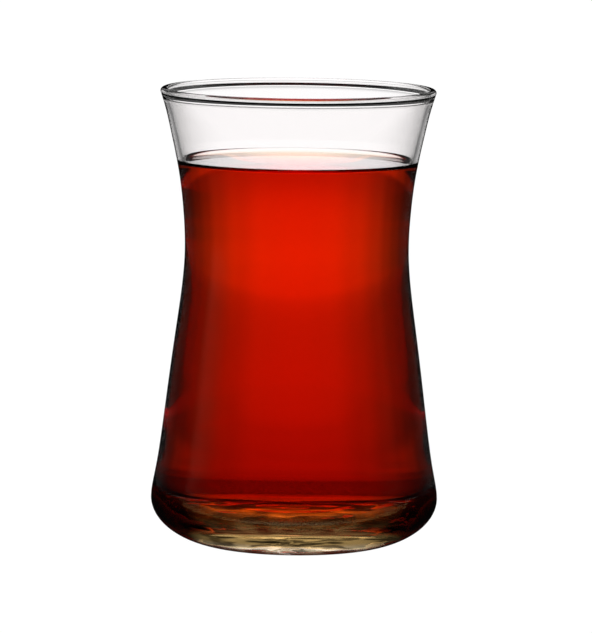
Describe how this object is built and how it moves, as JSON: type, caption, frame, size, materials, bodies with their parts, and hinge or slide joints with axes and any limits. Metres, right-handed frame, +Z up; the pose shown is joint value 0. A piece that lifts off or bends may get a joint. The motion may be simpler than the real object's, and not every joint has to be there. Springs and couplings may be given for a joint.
{
  "type": "turkish tea glass filled with tea",
  "caption": "Waisted clear drinking glass with a flared rounded lip and a thick rounded base, filled with red-brown tea to below the lip.",
  "frame": {"origin": "centre of the foot, on the surface that the glass stands on", "axes": "+Z up along the axis of the turned glass"},
  "size_m": [0.0548, 0.0548, 0.088],
  "materials": {
    "glass": "clear fire-polished soda-lime glass",
    "tea": "clear brewed black tea, deep red where it is thick"
  },
  "bodies": {
    "root": {"glass": "glass", "tea": "tea"}
  },
  "joints": []
}
